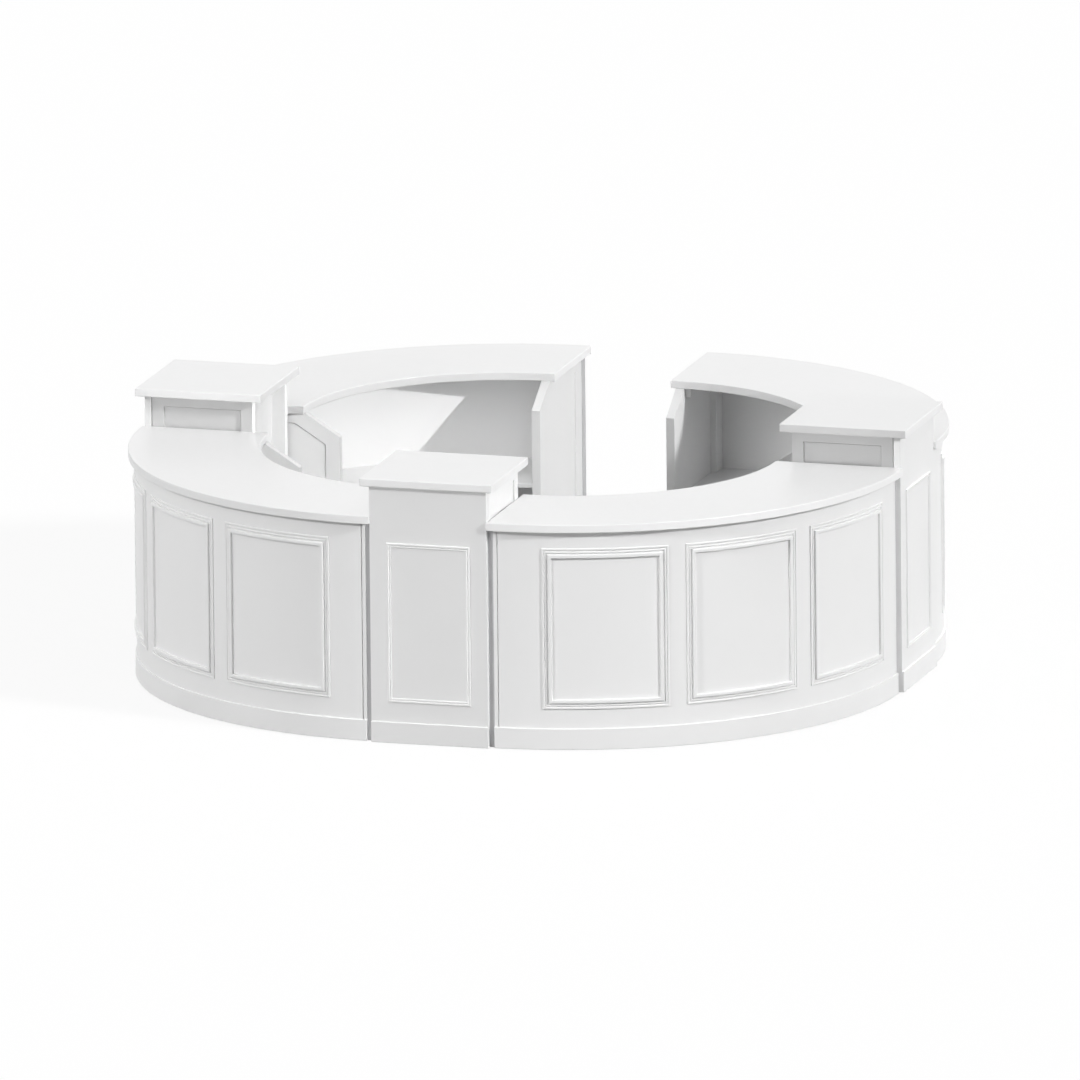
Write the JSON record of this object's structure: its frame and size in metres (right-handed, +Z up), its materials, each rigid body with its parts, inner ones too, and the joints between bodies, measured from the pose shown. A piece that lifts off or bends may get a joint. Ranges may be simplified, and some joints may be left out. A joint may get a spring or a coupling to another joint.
{
  "type": "modular bar counter",
  "caption": "Round free-standing bar counter of curved worktop modules and raised pedestals, panelled in white lacquer, open at the rear for staff.",
  "frame": {"origin": "on the floor, under the middle of the counter's overall box", "axes": "+Z up; -Y towards the guest at the front pedestal; +Y through the open staff entry; +X to the right of a guest looking along +Y"},
  "size_m": [3.706, 3.683, 1.25],
  "materials": {
    "white_lacquer": "satin white lacquer on board",
    "grey_filler": "matt grey",
    "glide_nylon": "matt dark nylon"
  },
  "bodies": {
    "front_left": {"front_left_countertop": "white_lacquer", "front_left_front_panel": "white_lacquer", "front_left_front_trim": "white_lacquer", "front_left_back_liner": "white_lacquer", "front_left_end_panels": "white_lacquer", "front_left_framing": "white_lacquer", "front_left_shelf": "white_lacquer", "front_left_base": "white_lacquer", "front_left_end_strips": "grey_filler", "front_left_glides": "glide_nylon"},
    "front_right": {"front_right_countertop": "white_lacquer", "front_right_front_panel": "white_lacquer", "front_right_front_trim": "white_lacquer", "front_right_back_liner": "white_lacquer", "front_right_end_panels": "white_lacquer", "front_right_framing": "white_lacquer", "front_right_shelf": "white_lacquer", "front_right_base": "white_lacquer", "front_right_end_strips": "grey_filler", "front_right_glides": "glide_nylon"},
    "rear_left": {"rear_left_countertop": "white_lacquer", "rear_left_front_panel": "white_lacquer", "rear_left_front_trim": "white_lacquer", "rear_left_back_liner": "white_lacquer", "rear_left_end_panels": "white_lacquer", "rear_left_framing": "white_lacquer", "rear_left_shelf": "white_lacquer", "rear_left_base": "white_lacquer", "rear_left_end_strips": "grey_filler", "rear_left_glides": "glide_nylon"},
    "rear_right": {"rear_right_countertop": "white_lacquer", "rear_right_front_panel": "white_lacquer", "rear_right_front_trim": "white_lacquer", "rear_right_back_liner": "white_lacquer", "rear_right_end_panels": "white_lacquer", "rear_right_framing": "white_lacquer", "rear_right_shelf": "white_lacquer", "rear_right_base": "white_lacquer", "rear_right_end_strips": "grey_filler", "rear_right_glides": "glide_nylon"},
    "front_pedestal": {"front_pedestal_cap": "white_lacquer", "front_pedestal_front_panel": "white_lacquer", "front_pedestal_front_trim": "white_lacquer", "front_pedestal_side_panels": "white_lacquer", "front_pedestal_back_panel": "white_lacquer", "front_pedestal_glides": "glide_nylon"},
    "left_pedestal": {"left_pedestal_cap": "white_lacquer", "left_pedestal_front_panel": "white_lacquer", "left_pedestal_front_trim": "white_lacquer", "left_pedestal_side_panels": "white_lacquer", "left_pedestal_back_panel": "white_lacquer", "left_pedestal_glides": "glide_nylon"},
    "right_pedestal": {"right_pedestal_cap": "white_lacquer", "right_pedestal_front_panel": "white_lacquer", "right_pedestal_front_trim": "white_lacquer", "right_pedestal_side_panels": "white_lacquer", "right_pedestal_back_panel": "white_lacquer", "right_pedestal_glides": "glide_nylon"}
  },
  "joints": [
    {"name": "front_left_slide", "type": "slide", "parent": "front_pedestal", "child": "front_left", "axis": [-1, 0, 0], "range_m": [0, 0.5]},
    {"name": "front_right_slide", "type": "slide", "parent": "front_pedestal", "child": "front_right", "axis": [1, 0, 0], "range_m": [0, 0.5]},
    {"name": "left_pedestal_slide", "type": "slide", "parent": "front_left", "child": "left_pedestal", "axis": [0, 1, 0], "range_m": [0, 0.5]},
    {"name": "right_pedestal_slide", "type": "slide", "parent": "front_right", "child": "right_pedestal", "axis": [0, 1, 0], "range_m": [0, 0.5]},
    {"name": "rear_left_slide", "type": "slide", "parent": "left_pedestal", "child": "rear_left", "axis": [0, 1, 0], "range_m": [0, 0.5]},
    {"name": "rear_right_slide", "type": "slide", "parent": "right_pedestal", "child": "rear_right", "axis": [0, 1, 0], "range_m": [0, 0.5]}
  ]
}
